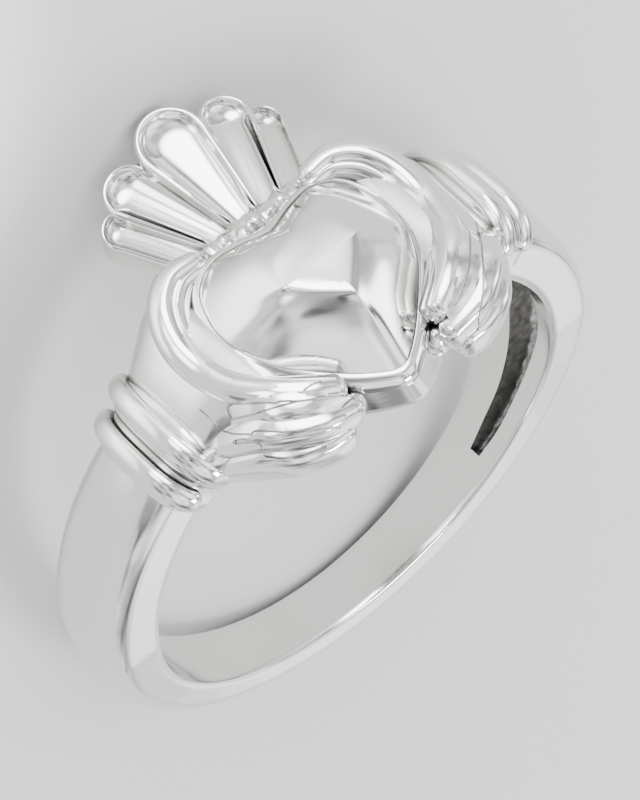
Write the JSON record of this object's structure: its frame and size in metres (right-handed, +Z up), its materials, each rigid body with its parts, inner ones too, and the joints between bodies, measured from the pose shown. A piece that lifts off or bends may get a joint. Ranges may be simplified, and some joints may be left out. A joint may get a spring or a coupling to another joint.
{
  "type": "claddagh ring",
  "caption": "Finger ring cast in one piece: two cuffed hands hold a faceted heart under a scalloped crown, on a tapering band open for a finger.",
  "frame": {"origin": "centre of the bounding box, on the surface that the ring lies on", "axes": "+X from hand to hand, -Y towards the heart's face, +Y towards the back of the band, +Z up from the surface; the finger hole's axis leans 16.6 degrees from +Z towards +Y"},
  "size_m": [0.0212, 0.0236, 0.0122],
  "materials": {
    "metal": "polished white metal, left as cast in the shoulder hollows"
  },
  "bodies": {
    "root": {"ring": "metal"}
  },
  "joints": []
}
